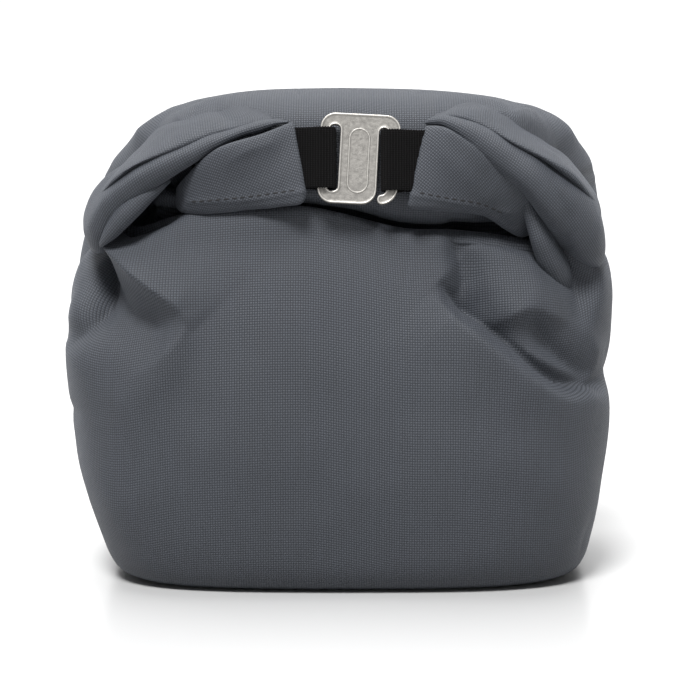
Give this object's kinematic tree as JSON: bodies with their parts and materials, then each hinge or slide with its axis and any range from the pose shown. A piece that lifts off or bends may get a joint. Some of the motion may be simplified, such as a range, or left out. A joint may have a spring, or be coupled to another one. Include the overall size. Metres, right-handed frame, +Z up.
{
  "type": "roll-top bag",
  "caption": "Small padded roll-top bag, its rolled mouth turned forwards and held shut by webbing loops and a flat metal hook buckle.",
  "frame": {"origin": "on the surface the bag stands on, under the middle of its bounding box", "axes": "+Z up, the front with the buckle faces -Y, +X to the right seen from the front"},
  "size_m": [0.2252, 0.1448, 0.1938],
  "materials": {
    "woven_polyester": "slate grey woven polyester, matt with a faint sheen",
    "insulating_foam": "closed-cell foam sheet",
    "welded_lining": "satin wipe-clean film",
    "black_webbing": "ribbed black polyester webbing",
    "cast_metal": "tumbled cast metal with bright edges"
  },
  "bodies": {
    "bag": {"front_panel": "woven_polyester", "back_panel": "woven_polyester", "left_panel": "woven_polyester", "right_panel": "woven_polyester", "base_panel": "woven_polyester", "rolled_mouth": "woven_polyester", "left_roll_end": "woven_polyester", "right_roll_end": "woven_polyester", "front_foam": "insulating_foam", "back_foam": "insulating_foam", "left_foam": "insulating_foam", "right_foam": "insulating_foam", "base_foam": "insulating_foam", "lining": "welded_lining", "mouth_webbing": "black_webbing"},
    "left_loop": {"left_webbing_loop": "black_webbing"},
    "buckle": {"hook_buckle": "cast_metal"},
    "right_loop": {"right_webbing_loop": "black_webbing"}
  },
  "joints": [
    {"name": "left_loop_hinge", "type": "hinge", "parent": "bag", "child": "left_loop", "pos_m": [-0.017, -0.058, 0.17], "axis": [0, -0.2588, -0.9659], "range_deg": [0, 16]},
    {"name": "buckle_hinge", "type": "hinge", "parent": "left_loop", "child": "buckle", "pos_m": [-0.0058, -0.058, 0.17], "axis": [0, -0.2588, -0.9659], "range_deg": [-16.4, 0]},
    {"name": "right_loop_hinge", "type": "hinge", "parent": "buckle", "child": "right_loop", "pos_m": [0.0209, -0.058, 0.17], "axis": [0, -0.2588, -0.9659], "range_deg": [-14.8, 0]}
  ],
  "couplings": [
    {"joint": "buckle_hinge", "follows": "left_loop_hinge", "ratio": -1},
    {"joint": "right_loop_hinge", "follows": "left_loop_hinge", "ratio": -0.9}
  ]
}
